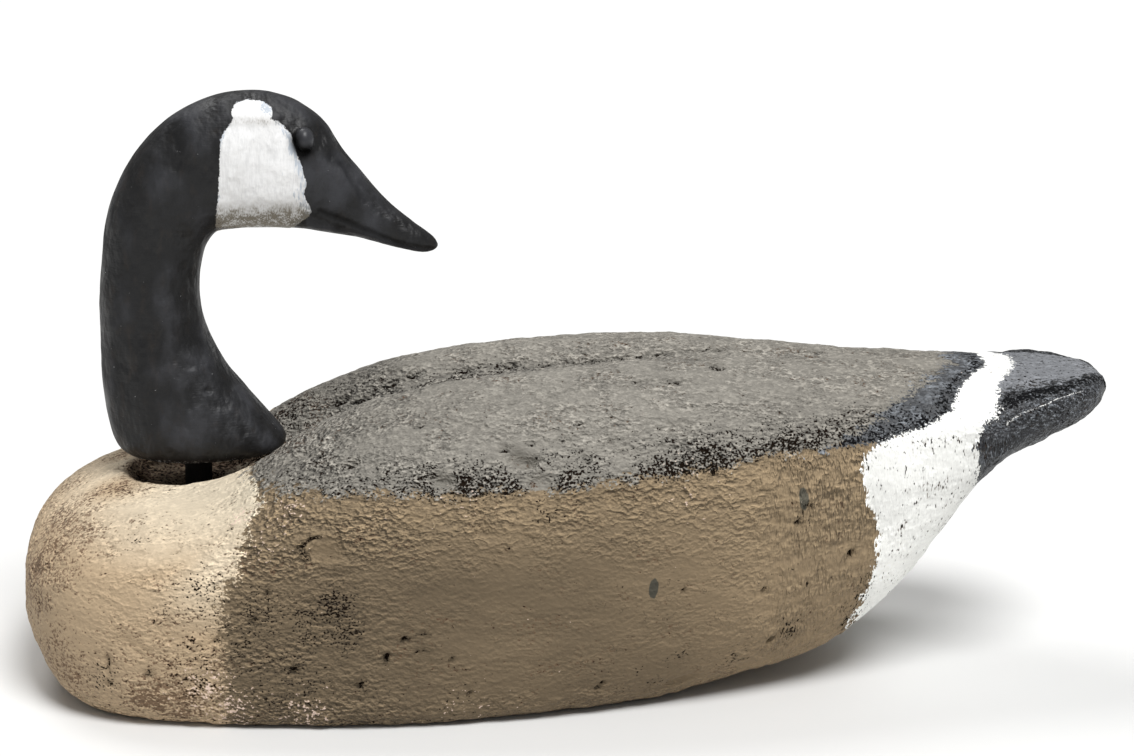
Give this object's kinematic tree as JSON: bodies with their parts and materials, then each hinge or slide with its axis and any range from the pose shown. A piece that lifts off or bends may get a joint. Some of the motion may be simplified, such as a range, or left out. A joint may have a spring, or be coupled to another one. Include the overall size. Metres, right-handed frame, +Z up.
{
  "type": "goose decoy",
  "caption": "Full-size goose decoy with a hollow-backed body and a turned-back head that stands in it on a post and lifts off.",
  "frame": {"origin": "on the ground, below the middle of the body's box", "axes": "+X towards the tail, +Y towards the goose's right side, +Z up"},
  "size_m": [0.634, 0.2688, 0.3381],
  "materials": {
    "painted_cork": "pressed cork, brushed with matt oil paint in grey, brown, tan, white and slate, pitted and worn",
    "painted_head": "smooth carved wood in matt black paint with a white cheek patch",
    "post": "dowel in matt black paint"
  },
  "bodies": {
    "root": {"body": "painted_cork", "head_and_neck": "painted_head", "neck_post": "post"}
  },
  "joints": []
}
